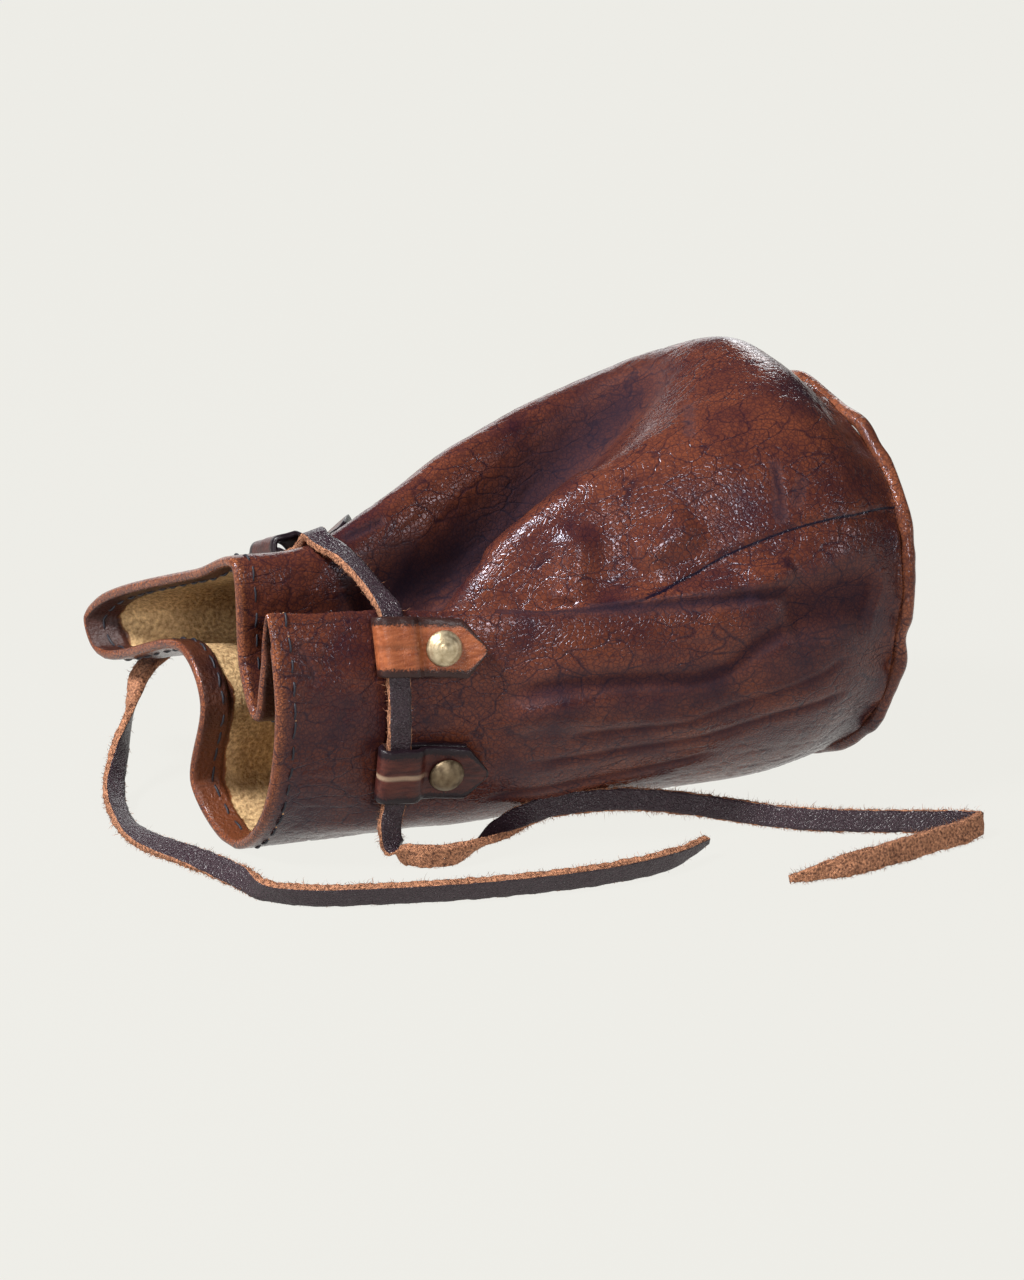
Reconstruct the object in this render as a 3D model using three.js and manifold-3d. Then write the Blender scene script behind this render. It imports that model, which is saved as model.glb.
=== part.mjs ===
// A leather drawstring belt pouch lying on its side, in millimetres with +Z up.
// +X runs from the mouth to the base, -Y is the front, and the pouch rests on z = 0.
import * as THREE from "three";
import { mergeVertices } from "three/addons/utils/BufferGeometryUtils.js";
import Module from "manifold-3d";

// Leather and gaps
const LEATHER = 1.6; // thickness of the wall, the base and the keepers
const HEM_THICKNESS = 2.6; // the wall and the edge turned in over it
const HEM_START = 0.93; // where the turned-in edge ends, as a share of the length
const RIM_ROLL = 0.8; // how far the folded edge stands out past the rim
const GAP = 0.3; // clearance between pieces
const KEEPER_SEAT = 0.45; // clearance under a keeper, on the rounded wall
const FLOOR = 0; // the surface that the pouch lies on

// Base
const BASE_RADIUS = 47.4;
const BASE_TURN = THREE.MathUtils.degToRad(4); // the base faces a little away from the front
const BASE_LEAN = THREE.MathUtils.degToRad(2.5); // its top leans out
const BASE_BULGE = 3;
const WELT_RADIUS = 1.9;
const WELT_RING = BASE_RADIUS - 0.2; // radius of the welt's middle line
const BASE_CENTRE = new THREE.Vector3(69.3, -2, WELT_RING + WELT_RADIUS + 0.1);

// Stations along the length where the folds are measured
const BELLY_X = 49;
const SHOULDER_X = -16;
const NECK_X = -55;

// A row for each fold line from base to rim: its angle on the round base in degrees from
// the floor, and its place in y and z at the stations, with x as well at the rim. The ridge
// has a neck station of its own, where the lace draws it in. The wall has that many steps
// to the next line, set closer together beside a tight fold.
const FOLDS = [
  { name: "floor", steps: 4, base: 0,
    belly: [0, -1.4], shoulder: [0, -1.4], neck: [-3, -0.6], rim: [-86.5, -1, -0.4] },
  { name: "near low", steps: 4, base: 28,
    belly: [-29.5, 6.8], shoulder: [-27, 9], neck: [-24, 11], rim: [-86, -19.5, 11.5] },
  { name: "near side", steps: 5, base: 60,
    belly: [-51.5, 33], shoulder: [-43, 36], neck: [-31, 40], rim: [-86, -30, 42] },
  { name: "crest", steps: 5, base: 82, tight: true,
    belly: [-53, 58], shoulder: [-39, 60], neck: [-25.5, 62], rim: [-85.5, -23.5, 65] },
  { name: "tuck", steps: 3, base: 98,
    belly: [-51, 68], shoulder: [-33, 58], neck: [-17.5, 46], rim: [-85, -17, 47] },
  { name: "panel", steps: 4, base: 128, tight: true,
    belly: [-36, 97], shoulder: [-23, 74], neck: [-14, 37], rim: [-85, -14, 38] },
  { name: "valley", steps: 5, base: 160,
    belly: [0, 109.8], shoulder: [-5, 68], neck: [-9, 45], rim: [-85, -8, 47] },
  { name: "ridge", steps: 5, base: 180, tight: true, neckX: -61,
    belly: [19, 103.5], shoulder: [8, 89.8], neck: [-2, 73], rim: [-85, -4, 72] },
  { name: "far top", steps: 4, base: 205,
    belly: [35, 93], shoulder: [28, 77], neck: [19, 62.2], rim: [-86, 18, 64.9] },
  { name: "lobe top", steps: 4, base: 232,
    belly: [48, 77], shoulder: [46, 58], neck: [45, 50], rim: [-91, 67.2, 45] },
  { name: "lobe tip", steps: 4, base: 256, tight: true,
    belly: [54, 55], shoulder: [52, 42], neck: [52, 41], rim: [-91.5, 74.2, 37.8] },
  { name: "lobe under", steps: 4, base: 278,
    belly: [51.5, 36], shoulder: [48, 27], neck: [44, 33], rim: [-91, 67, 29.4] },
  { name: "bend", steps: 4, base: 295,
    belly: [46, 23], shoulder: [41, 17], neck: [24, 36], rim: [-88, 22, 42.2] },
  { name: "waist", steps: 4, base: 312,
    belly: [37, 12.5], shoulder: [31, 9.5], neck: [12, 31], rim: [-88, 11.2, 33.6] },
  { name: "far low", steps: 4, base: 336,
    belly: [21, 2.5], shoulder: [18, 2.5], neck: [15, 11], rim: [-88, 18.8, 10.6] },
];
const WALL_STEPS = 13;
const BODY_END = 0.9; // where the even steps along the wall end, as a share of the length
const HEM_EDGE = 0.005; // length of the step up to the turned-in edge
const BEND_ROOM = 0.8; // share of a bend's radius that the leather may fill

// Keepers: strips folded round the lace, fold towards the mouth and point towards the base
const KEEPER_WIDTH = 14;
const KEEPER_LENGTH = 28;
const KEEPER_SHOULDER = 22.6; // where the point begins
const KEEPER_UNDER_END = 22.4; // where the hidden under layer ends
const KEEPER_RIVET = 17.6;
const KEEPER_ACROSS = [-1, -0.35, 0.35, 1];
const LACE_SEAT = 5.3; // from the fold's outer end to the middle of the lace
const LACE_LINE = 0.766; // where the lace runs round the neck, as a share of the length
const KEEPERS = [
  { name: "1", fold: 2.5, leather: "cognac" },
  { name: "2", fold: 1.5, leather: "darkLeather" },
  { name: "3", fold: 8.42, leather: "darkLeather" },
  { name: "4", fold: 8.98, leather: "darkLeather" },
];

// Rivets
const DOME_RADIUS = 4.3;
const DOME_RISE = 2.2;
const POST_RADIUS = 1.4;
const POST_HOLE_RADIUS = 1.7;
const BACK_RADIUS = 3.6;
const BACK_THICKNESS = 0.8;

// Lace
const LACE_WIDTH = 5.6;
const LACE_THICKNESS = 1.6;
const LACE_LIFT = KEEPER_SEAT + LEATHER + GAP + LACE_THICKNESS / 2; // its middle above the wall in a keeper
const LACE_REST = 3 * GAP + LACE_THICKNESS / 2; // its middle above the wall where it lies on the ridge
const LACE_EDGE = LACE_WIDTH / 2 + 0.3; // height of its middle when it stands on its edge
const TIP_SHARE = 0.3; // width left at the cut tip
const TIP_LENGTH = 15;
const LACE_CORNER = 0.35; // cut corners of its section

const COLOURS = {
  leather: 0x6b3823,
  darkLeather: 0x4a2319,
  cognac: 0xa0622f,
  lace: 0x3b2a2c,
  brass: 0x96825a,
};

const vec = (x, y, z) => new THREE.Vector3(x, y, z);
const wasm = await Module();
wasm.setup();

// Base plane: its outward direction, and a point on its edge at an angle from the floor.
const baseTurn = new THREE.Euler(0, BASE_LEAN, BASE_TURN, "ZYX");
const baseOut = vec(1, 0, 0).applyEuler(baseTurn);
function basePoint(degrees) {
  const turn = THREE.MathUtils.degToRad(degrees);
  const edge = vec(0, -Math.sin(turn), -Math.cos(turn)).multiplyScalar(BASE_RADIUS);
  return edge.applyEuler(baseTurn).add(BASE_CENTRE);
}

// Wall surface: a curve for each fold line, and a closed section through them at any length.
const rails = FOLDS.map(
  (fold) =>
    new THREE.CatmullRomCurve3([
      basePoint(fold.base),
      vec(BELLY_X, ...fold.belly),
      vec(SHOULDER_X, ...fold.shoulder),
      vec(fold.neckX ?? NECK_X, ...fold.neck),
      vec(...fold.rim),
    ]),
);
function sectionAt(along) {
  return new THREE.CatmullRomCurve3(rails.map((rail) => rail.getPoint(along)), true);
}
const wrap = (fold) => THREE.MathUtils.euclideanModulo(fold / FOLDS.length, 1);
const wallPoint = (along, fold) => sectionAt(along).getPoint(wrap(fold));

// The wall's place, outward direction and direction towards the mouth.
function wallFrame(along, fold) {
  const step = 0.01;
  const low = Math.max(along - step, 0);
  const high = Math.min(along + step, 1);
  const mouthward = wallPoint(high, fold).sub(wallPoint(low, fold)).normalize();
  const round = wallPoint(along, fold + 0.06).sub(wallPoint(along, fold - 0.06)).normalize();
  return { at: wallPoint(along, fold), out: round.clone().cross(mouthward).normalize(), mouthward, round };
}

// Mesh from rings of points, each ring closed, with flat ends or joined end to end.
function loft(rings, joined) {
  const size = rings[0].length;
  const index = [];
  const last = joined ? rings.length : rings.length - 1;
  for (let i = 0; i < last; i++) {
    const next = (i + 1) % rings.length;
    for (let j = 0; j < size; j++) {
      const k = (j + 1) % size;
      const [a, b, c, d] = [i * size + j, i * size + k, next * size + k, next * size + j];
      index.push(a, b, c, a, c, d);
    }
  }
  if (!joined) {
    const end = (rings.length - 1) * size;
    for (let i = 0; i < size / 2 - 1; i++) {
      const [a, b, c, d] = [i, i + 1, size - 2 - i, size - 1 - i];
      index.push(a, c, b, a, d, c, end + a, end + b, end + c, end + a, end + c, end + d);
    }
  }
  const places = rings.flat().flatMap((point) => point.toArray());
  const geometry = new THREE.BufferGeometry();
  geometry.setAttribute("position", new THREE.Float32BufferAttribute(places, 3));
  return geometry.setIndex(index);
}

// Solids to cut and back to meshes
function toSolid(geometry) {
  const places = geometry.toNonIndexed().getAttribute("position");
  const bare = new THREE.BufferGeometry().setAttribute("position", places);
  const merged = mergeVertices(bare, 1e-4);
  const mesh = new wasm.Mesh({
    numProp: 3,
    vertProperties: merged.attributes.position.array,
    triVerts: new Uint32Array(merged.index.array),
  });
  return new wasm.Manifold(mesh);
}
function toGeometry(solid) {
  const mesh = solid.getMesh();
  const geometry = new THREE.BufferGeometry();
  geometry.setAttribute("position", new THREE.BufferAttribute(mesh.vertProperties, 3));
  return geometry.setIndex(new THREE.BufferAttribute(mesh.triVerts, 1));
}

// Pouch wall: outer skin flattened on the floor, inner skin one leather behind it and
// two at the hem, never further in than a tight bend has room for.
function easeToTight(share, start, end) {
  if (start && end) return share * share * (3 - 2 * share);
  if (start) return share * share;
  return end ? 1 - (1 - share) ** 2 : share;
}
const wallStops = FOLDS.flatMap(({ steps, tight }, fold) => {
  const next = FOLDS[(fold + 1) % FOLDS.length];
  return Array.from({ length: steps }, (_, i) => fold + easeToTight(i / steps, tight, next.tight));
});
function wallRing(along, thickness) {
  const count = wallStops.length;
  const frames = wallStops.map((fold) => wallFrame(along, fold));
  const outer = frames.map((frame) => frame.at.clone().setZ(Math.max(frame.at.z, FLOOR)));
  const room = frames.map((frame, i) => {
    const before = frames[(i + count - 1) % count];
    const after = frames[(i + 1) % count];
    const bend = before.out.angleTo(after.out);
    const opens = after.out.clone().sub(before.out).dot(after.at.clone().sub(before.at)) > 0;
    const radius = before.at.distanceTo(after.at) / Math.max(bend, 1e-3);
    return opens ? Math.min(thickness, BEND_ROOM * radius) : thickness;
  });
  const inner = outer.map((point, i) => {
    const tightest = Math.min(room[(i + count - 1) % count], room[i], room[(i + 1) % count]);
    return point.clone().addScaledVector(frames[i].out, -tightest);
  });
  const rolled = outer.map((point, i) => {
    const middle = point.clone().lerp(inner[i], 0.5);
    return middle.addScaledVector(frames[i].mouthward, RIM_ROLL);
  });
  return { outer, inner, rolled };
}
function pouchWall() {
  const stops = Array.from({ length: WALL_STEPS + 1 }, (_, i) => (i * BODY_END) / WALL_STEPS);
  const body = [...stops, HEM_START - HEM_EDGE].map((along) => wallRing(along, LEATHER));
  const hem = [HEM_START, (HEM_START + 1) / 2, 1].map((along) => wallRing(along, HEM_THICKNESS));
  const rim = hem[hem.length - 1];
  const rings = [...body, ...hem];
  const outward = rings.map((ring) => ring.outer);
  const back = rings.map((ring) => ring.inner).reverse();
  return loft([...outward, rim.rolled, ...back], true);
}

// Distance walked over the wall from the lace line towards the base, then round it.
function walk(pointAt, from, step, distance) {
  let place = from;
  let travelled = 0;
  let here = pointAt(from);
  while (travelled < Math.abs(distance)) {
    const there = pointAt(place + step);
    const length = here.distanceTo(there);
    const share = Math.min(1, (Math.abs(distance) - travelled) / length);
    place += step * share;
    travelled += length;
    here = there;
  }
  return place;
}
function overWall(fold, length, across, height) {
  const onLine = length - LACE_SEAT;
  const along = walk((t) => wallPoint(t, fold), LACE_LINE, -Math.sign(onLine) * 0.005, onLine);
  const section = sectionAt(along);
  const round = walk((f) => section.getPoint(wrap(f)), fold, Math.sign(across) * 0.04, across);
  const frame = wallFrame(along, round);
  return frame.at.addScaledVector(frame.out, height);
}

// Keeper: the middle line of its strip in length and height, from the under layer's end
// round the fold and over the lace to the point.
function keeperLine() {
  const low = KEEPER_SEAT + LEATHER / 2;
  const high = LACE_LIFT + LACE_THICKNESS / 2 + GAP + LEATHER / 2;
  const rest = low + LEATHER + 0.2;
  const radius = (high - low) / 2;
  const foldCentre = radius + LEATHER / 2;
  const line = [[KEEPER_UNDER_END, low], [KEEPER_RIVET, low], [12.5, low], [6.5, low]];
  for (let i = 0; i <= 6; i++) {
    const turn = (Math.PI * i) / 6;
    line.push([foldCentre - radius * Math.sin(turn), (low + high) / 2 - radius * Math.cos(turn)]);
  }
  line.push([6.5, high], [8.6, high], [10, high - 0.35], [11.6, rest + 0.35], [13.2, rest]);
  line.push([KEEPER_RIVET, rest], [KEEPER_SHOULDER, rest]);
  line.push([25.3, rest - 0.2], [KEEPER_LENGTH, rest - 0.4]);
  return line.map(([length, height]) => new THREE.Vector2(length, height));
}
function keeperHalfWidth(length, upper) {
  const pointed = upper && length > KEEPER_SHOULDER;
  const towardsPoint = (length - KEEPER_SHOULDER) / (KEEPER_LENGTH - KEEPER_SHOULDER);
  return ((pointed ? 1 - 0.92 * towardsPoint : 1) * KEEPER_WIDTH) / 2;
}
function keeper(fold) {
  const line = keeperLine();
  const rings = line.map((point, i) => {
    const before = line[Math.max(i - 1, 0)];
    const after = line[Math.min(i + 1, line.length - 1)];
    const ahead = after.clone().sub(before).normalize();
    const side = new THREE.Vector2(-ahead.y, ahead.x).multiplyScalar(LEATHER / 2);
    const half = keeperHalfWidth(point.x, i > line.length / 2);
    const faces = [-1, 1].map((sign) =>
      KEEPER_ACROSS.map((share) =>
        overWall(fold, point.x + sign * side.x, share * half, point.y + sign * side.y),
      ),
    );
    return [...faces[0], ...faces[1].reverse()];
  });
  return loft(rings, false);
}

// Rivet: dome, post and plain back, turned to stand square on the wall.
function standOnWall(geometry, fold) {
  const along = walk((t) => wallPoint(t, fold), LACE_LINE, -0.005, KEEPER_RIVET - LACE_SEAT);
  const frame = wallFrame(along, fold);
  const turn = new THREE.Quaternion().setFromUnitVectors(vec(0, 1, 0), frame.out);
  return geometry.applyQuaternion(turn).translate(...frame.at.toArray());
}
function rivet(fold) {
  const seat = KEEPER_SEAT + 2 * LEATHER + 2 * GAP;
  const back = -LEATHER - 2 * GAP;
  const profile = [
    [0, back - BACK_THICKNESS],
    [BACK_RADIUS, back - BACK_THICKNESS],
    [BACK_RADIUS, back],
    [POST_RADIUS, back],
    [POST_RADIUS, seat],
    [DOME_RADIUS, seat],
    [DOME_RADIUS, seat + 0.5],
    [DOME_RADIUS * 0.82, seat + DOME_RISE * 0.58],
    [DOME_RADIUS * 0.45, seat + DOME_RISE * 0.88],
    [0, seat + DOME_RISE],
  ];
  const points = profile.map(([radius, height]) => new THREE.Vector2(radius, height));
  return standOnWall(new THREE.LatheGeometry(points, 14), fold);
}
function rivetHole(fold) {
  return standOnWall(new THREE.CylinderGeometry(POST_HOLE_RADIUS, POST_HOLE_RADIUS, 20, 12), fold);
}

// Lace: a flat strip along a route, each row a place and the way that its width points.
// The route's frames carry the turns of the strip and the taper of its cut tip.
function onLaceLine(fold, lift = LACE_LIFT) {
  const frame = wallFrame(LACE_LINE, fold);
  return { at: frame.at.addScaledVector(frame.out, lift), wide: frame.mouthward };
}
const inKeepers = (folds) => folds.map((fold) => onLaceLine(fold));
const row = (x, y, z, wide) => ({ at: vec(x, y, z), wide: vec(...wide) });
const UPRIGHT = [0, 0, 1];
const TURNED = [0, 0, -1];
class LaceRoute extends THREE.CatmullRomCurve3 {
  constructor(rows, cutTip) {
    super(rows.map((place) => place.at));
    this.wides = new THREE.CatmullRomCurve3(rows.map((place) => place.wide.clone().normalize()));
    this.cutTip = cutTip;
  }
  taper(share) {
    const toTip = this.getLength() * (1 - share);
    return this.cutTip ? Math.min(1, TIP_SHARE + ((1 - TIP_SHARE) * toTip) / TIP_LENGTH) : 1;
  }
  computeFrenetFrames(steps) {
    const frames = { tangents: [], normals: [], binormals: [] };
    for (let i = 0; i <= steps; i++) {
      const place = this.getUtoTmapping(i / steps);
      const ahead = this.getTangent(place);
      const wide = this.wides.getPoint(place);
      wide.addScaledVector(ahead, -wide.dot(ahead)).normalize();
      frames.tangents.push(ahead);
      frames.binormals.push(ahead.clone().cross(wide));
      frames.normals.push(wide.multiplyScalar(this.taper(i / steps)));
    }
    return frames;
  }
}
function lace(rows, steps, cutTip) {
  const [w, t] = [LACE_WIDTH / 2, LACE_THICKNESS / 2];
  const below = [[-w, LACE_CORNER - t], [LACE_CORNER - w, -t], [w - LACE_CORNER, -t], [w, LACE_CORNER - t]];
  const above = below.map(([across, height]) => [across, -height]).reverse();
  const corners = [...below, ...above].map(([across, height]) => new THREE.Vector2(across, height));
  const extrudePath = new LaceRoute(rows, cutTip);
  return new THREE.ExtrudeGeometry(new THREE.Shape(corners), { steps, extrudePath, bevelEnabled: false });
}

// Held stretch: over the front through two keepers, across the open pleat, over the ridge
// and through the two keepers at the back.
const LACE_NECK = [
  ...inKeepers([1.51, 1.64, 1.78, 1.95, 2.15, 2.3, 2.45, 2.6, 2.72, 2.83]),
  row(-58.8, -21.5, 67.4, [-1, -0.15, 0.2]),
  row(-60.2, -10.5, 71.6, [-1, -0.1, 0.1]),
  ...[6.98, 7.2, 7.45].map((fold) => onLaceLine(fold, LACE_REST)),
  onLaceLine(7.75, (LACE_REST + LACE_LIFT) / 2),
  ...inKeepers([8.05, 8.24, 8.42, 8.58, 8.72, 8.85, 8.97]),
];
const LACE_FRONT = [
  ...inKeepers([1.49, 1.36, 1.23]),
  row(-58.8, -30.4, 9.5, [-1, 0, 0.15]),
  row(-57.6, -31.6, 4, [-0.75, 0.2, 0.55]),
  row(-52.6, -36.4, LACE_EDGE, [-0.2, -0.1, 1]),
  row(-45.6, -38.3, LACE_EDGE, [0, -0.35, 0.95]),
  row(-36.4, -35.6, 3.6, [0, -0.9, 0.4]),
  row(-29, -32.2, 4.9, [0, -0.9, -0.4]),
  row(-16.4, -29.1, 6.8, [0, -0.25, -0.95]),
  row(-2, -33, 7.6, TURNED),
  row(10.6, -34.4, 5.8, TURNED),
  row(23, -37.9, 3.4, TURNED),
  row(39.5, -56.1, LACE_EDGE, TURNED),
  row(64.4, -71.7, LACE_EDGE, TURNED),
  row(73.2, -76.4, LACE_EDGE, TURNED),
  row(76.5, -79.1, LACE_EDGE, TURNED),
  row(73.2, -81.5, LACE_EDGE, TURNED),
  row(57.8, -84.7, LACE_EDGE, TURNED),
  row(37.5, -88.1, LACE_EDGE, TURNED),
  row(18.5, -86.7, 1.6, TURNED),
];
const LACE_BACK = [
  ...inKeepers([9, 9.08, 9.18, 9.3, 9.42, 9.54, 9.68, 9.82, 10]),
  row(-66, 64, 33.6, [-0.4, 0.7, 0.5]),
  row(-75.2, 63.6, 29, [0, 1, 0]),
  row(-84, 58, 26.2, [-0.2, 0.9, 0]),
  row(-90, 52.2, 18, [0.15, 0.6, -0.65]),
  row(-95.9, 45.3, 11, [0.61, 0.14, -0.78]),
  row(-101.5, 34.1, 5.2, [0.83, -0.14, -0.52]),
  row(-105.2, 21, 2.6, [0.93, -0.05, -0.36]),
  row(-105.6, 8, 2.1, [0.97, 0.1, 0.2]),
  row(-100.3, -12.8, 2.5, [0.82, 0.18, 0.53]),
  row(-97.8, -31.2, 3, [0.45, 0.07, 0.88]),
  row(-96, -40.8, LACE_EDGE, UPRIGHT),
  row(-88.1, -48.8, LACE_EDGE, UPRIGHT),
  row(-76.8, -54, LACE_EDGE, UPRIGHT),
  row(-59, -60.6, LACE_EDGE, UPRIGHT),
  row(-40, -65.6, LACE_EDGE, UPRIGHT),
  row(-19.6, -68.4, LACE_EDGE, UPRIGHT),
  row(-2.1, -66.8, 3.2, UPRIGHT),
  row(10, -62.3, 4.4, UPRIGHT),
];

// Base panel inside the welt, and the welt round its edge, both square to the base.
function onBase(geometry, offset) {
  const turn = new THREE.Quaternion().setFromUnitVectors(vec(0, 1, 0), baseOut);
  const place = BASE_CENTRE.clone().addScaledVector(baseOut, offset);
  return geometry.applyQuaternion(turn).translate(...place.toArray());
}
function basePanel() {
  const edge = WELT_RING - WELT_RADIUS - GAP;
  const bulge = (share) => BASE_BULGE * (1 - share * share);
  const shares = [0, 0.3, 0.6, 0.85, 1];
  const inside = shares.map((share) => [edge * share, bulge(share)]);
  const outside = shares.map((share) => [edge * share, bulge(share) + LEATHER]).reverse();
  const profile = [...inside, ...outside].map(([radius, height]) => new THREE.Vector2(radius, height));
  return onBase(new THREE.LatheGeometry(profile, 44), WELT_RADIUS + GAP - LEATHER / 2);
}
function baseWelt() {
  const ring = new THREE.TorusGeometry(WELT_RING, WELT_RADIUS, 8, 48).rotateX(Math.PI / 2);
  return onBase(ring, WELT_RADIUS + GAP);
}

// Assembly
const group = new THREE.Group();
function add(name, geometry, colour, roughness, metalness) {
  const material = new THREE.MeshStandardMaterial({ color: colour, roughness, metalness });
  const mesh = new THREE.Mesh(geometry, material);
  mesh.name = name;
  group.add(mesh);
}
let wall = toSolid(pouchWall());
KEEPERS.forEach(({ name, fold, leather }) => {
  const hole = toSolid(rivetHole(fold));
  wall = wall.subtract(hole);
  const tab = toSolid(keeper(fold)).subtract(hole);
  add("keeper_" + name, toGeometry(tab), COLOURS[leather], 0.5, 0);
  add("rivet_" + name, rivet(fold), COLOURS.brass, 0.35, 1);
});
add("pouch_wall", toGeometry(wall), COLOURS.leather, 0.4, 0);
add("base_panel", basePanel(), COLOURS.darkLeather, 0.45, 0);
add("base_welt", baseWelt(), COLOURS.leather, 0.4, 0);
add("lace_neck", lace(LACE_NECK, 42, false), COLOURS.lace, 0.6, 0);
add("lace_end_front", lace(LACE_FRONT, 50, true), COLOURS.lace, 0.6, 0);
add("lace_end_back", lace(LACE_BACK, 48, true), COLOURS.lace, 0.6, 0);

// The origin lies on the floor under the middle of the pouch, with the lace left out.
const pouch = new THREE.Box3();
group.children.filter((mesh) => !mesh.name.startsWith("lace")).forEach((mesh) => pouch.expandByObject(mesh));
const middle = pouch.getCenter(vec(0, 0, 0));
group.position.set(-middle.x, -middle.y, FLOOR);

export default group;
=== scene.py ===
"""A brown leather drawstring pouch on its side, with its soft leather shaped in code."""
import functools
import itertools

import bpy
import numpy as np
from mathutils import Matrix


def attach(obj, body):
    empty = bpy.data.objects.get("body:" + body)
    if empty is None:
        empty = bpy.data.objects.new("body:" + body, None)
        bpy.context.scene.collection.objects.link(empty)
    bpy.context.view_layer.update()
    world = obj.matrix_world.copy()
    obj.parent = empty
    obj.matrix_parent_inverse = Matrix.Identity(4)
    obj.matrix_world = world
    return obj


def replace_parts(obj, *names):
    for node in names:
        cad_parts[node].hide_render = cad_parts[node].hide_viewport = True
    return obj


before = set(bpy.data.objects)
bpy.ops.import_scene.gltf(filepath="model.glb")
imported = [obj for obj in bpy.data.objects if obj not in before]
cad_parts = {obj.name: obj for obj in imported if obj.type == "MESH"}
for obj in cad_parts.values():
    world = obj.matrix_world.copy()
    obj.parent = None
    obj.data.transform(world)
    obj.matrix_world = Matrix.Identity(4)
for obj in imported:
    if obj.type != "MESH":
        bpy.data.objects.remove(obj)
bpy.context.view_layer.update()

# Units: shapes are worked out in millimetres in the drawing's frame, then placed in the part's.
MM = 0.001
ZERO = np.array([7.8083, -10.3258, 0.0])
FLOOR_GAP = 0.05

# Camera, fitted to the photo
TARGET = np.array([-2.173, 14.018, 34.951])
RIGHT = np.array([0.88295, -0.46947, 0.0])
FORWARD = np.array([0.44649, 0.83974, -0.30902])
UP = np.array([0.14508, 0.27285, 0.95106])
DISTANCE = 1100.0
LENS = 123.75
SENSOR = 36.0

# Leather
LEATHER = 1.6
HEM_THICKNESS = 2.6
HEM_START = 0.948
RIM_ROLL = 1.3
GAP = 0.3
KEEPER_SEAT = 0.45
BEND_ROOM = 0.8

# Base
BASE_RADIUS = 47.4
BASE_TURN = np.radians(4.0)
BASE_LEAN = np.radians(2.5)
BASE_BULGE = 3.0
WELT_RADIUS = 1.9
WELT_RING = BASE_RADIUS - 0.2
BASE_CENTRE = np.array([69.3, -2.0, WELT_RING + WELT_RADIUS + 0.1])

# Fold lines of the wall from base to rim, nearly as in the part: the angle on the round base, then
# y and z at the belly and the shoulder, then x, y and z at the neck and the rim.
BELLY_X = 49.0
SHOULDER_X = -16.0
FOLDS = (
    (0, (0, -1.4), (0, -1.4), (-55, -3, -0.6), (-86.5, -1, -0.4)),
    (28, (-29.5, 6.8), (-27.4, 7.4), (-55, -24.3, 9.8), (-86, -19.5, 11.5)),
    (60, (-51.5, 33), (-43, 36), (-55, -31, 40), (-86, -30, 42)),
    (82, (-53, 58), (-39, 60), (-55, -25.5, 62), (-85.5, -23.5, 65)),
    (98, (-51, 68), (-33, 58), (-55, -17.5, 46), (-85, -17, 47)),
    (128, (-36, 97), (-19.5, 77.5), (-55, -14, 37), (-85, -14, 38)),
    (160, (0, 109), (-4, 64), (-55, -9, 45), (-85, -8, 47)),
    (180, (19, 103.5), (8, 89.8), (-61, -2, 73), (-85, -4, 72)),
    (205, (35, 93), (28, 77), (-55, 19, 62.2), (-86, 18, 64.6)),
    (232, (48, 77), (46, 58), (-55, 45, 50), (-90.8, 67, 44.8)),
    (256, (54, 55), (52, 42), (-55, 52, 41), (-91.2, 73.6, 37.8)),
    (278, (51.5, 36), (48, 27), (-55, 44, 33), (-91, 67, 29.4)),
    (295, (46, 23), (41, 17), (-55, 24, 36), (-88, 22, 42.2)),
    (312, (37, 12.5), (31, 9.5), (-55, 12, 31), (-88, 11.2, 33.6)),
    (336, (21, 2.5), (18, 2.5), (-55, 15, 11), (-88, 17.6, 10.3)),
)
FOLD_COUNT = len(FOLDS)

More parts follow.
